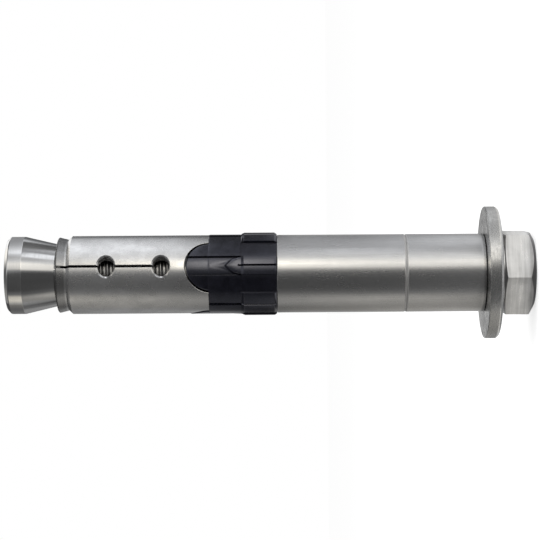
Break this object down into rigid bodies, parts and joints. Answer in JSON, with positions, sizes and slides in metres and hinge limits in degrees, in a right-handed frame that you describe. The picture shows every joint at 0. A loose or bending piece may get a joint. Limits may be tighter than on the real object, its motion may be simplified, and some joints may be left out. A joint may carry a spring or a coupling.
{
  "type": "sleeve anchor",
  "caption": "Heavy-duty sleeve anchor: a hex bolt and thick washer, a distance sleeve, a black collapsible collar and a slit expansion sleeve, drawn together by a tapped cone.",
  "frame": {"origin": "centre of the end face of the hexagon head, on which the anchor stands", "axes": "+Z along the bolt from the head to the cone; -Y through the middle of one slit of the expansion sleeve"},
  "size_m": [0.04, 0.04, 0.1592],
  "materials": {
    "bolt_steel": "cold-formed stainless with light brushing",
    "washer_steel": "stamped stainless, mottled rim",
    "sleeve_steel": "satin drawn tube",
    "black_plastic": "moulded, semi-matt",
    "expansion_steel": "satin with light tool marks",
    "cone_steel": "turned, fine circular lay"
  },
  "bodies": {
    "sleeves": {"distance_sleeve": "sleeve_steel", "collapsible_sleeve": "black_plastic", "expansion_sleeve": "expansion_steel"},
    "bolt": {"hex_bolt": "bolt_steel"},
    "washer": {"flat_washer": "washer_steel"},
    "cone": {"cone_nut": "cone_steel"}
  },
  "joints": [
    {"name": "bolt_turn", "type": "hinge", "parent": "sleeves", "child": "bolt", "pos_m": [0, 0, 0], "axis": [0, 0, -1], "range_deg": [0, 2520]},
    {"name": "cone_travel", "type": "slide", "parent": "sleeves", "child": "cone", "axis": [0, 0, 1], "range_m": [0, 0.014]},
    {"name": "washer_turn", "type": "hinge", "parent": "bolt", "child": "washer", "pos_m": [0, 0, 0.01285], "axis": [0, 0, 1], "continuous": true}
  ],
  "couplings": [
    {"joint": "cone_travel", "follows": "bolt_turn", "m_per_rad": 0.0003183}
  ]
}
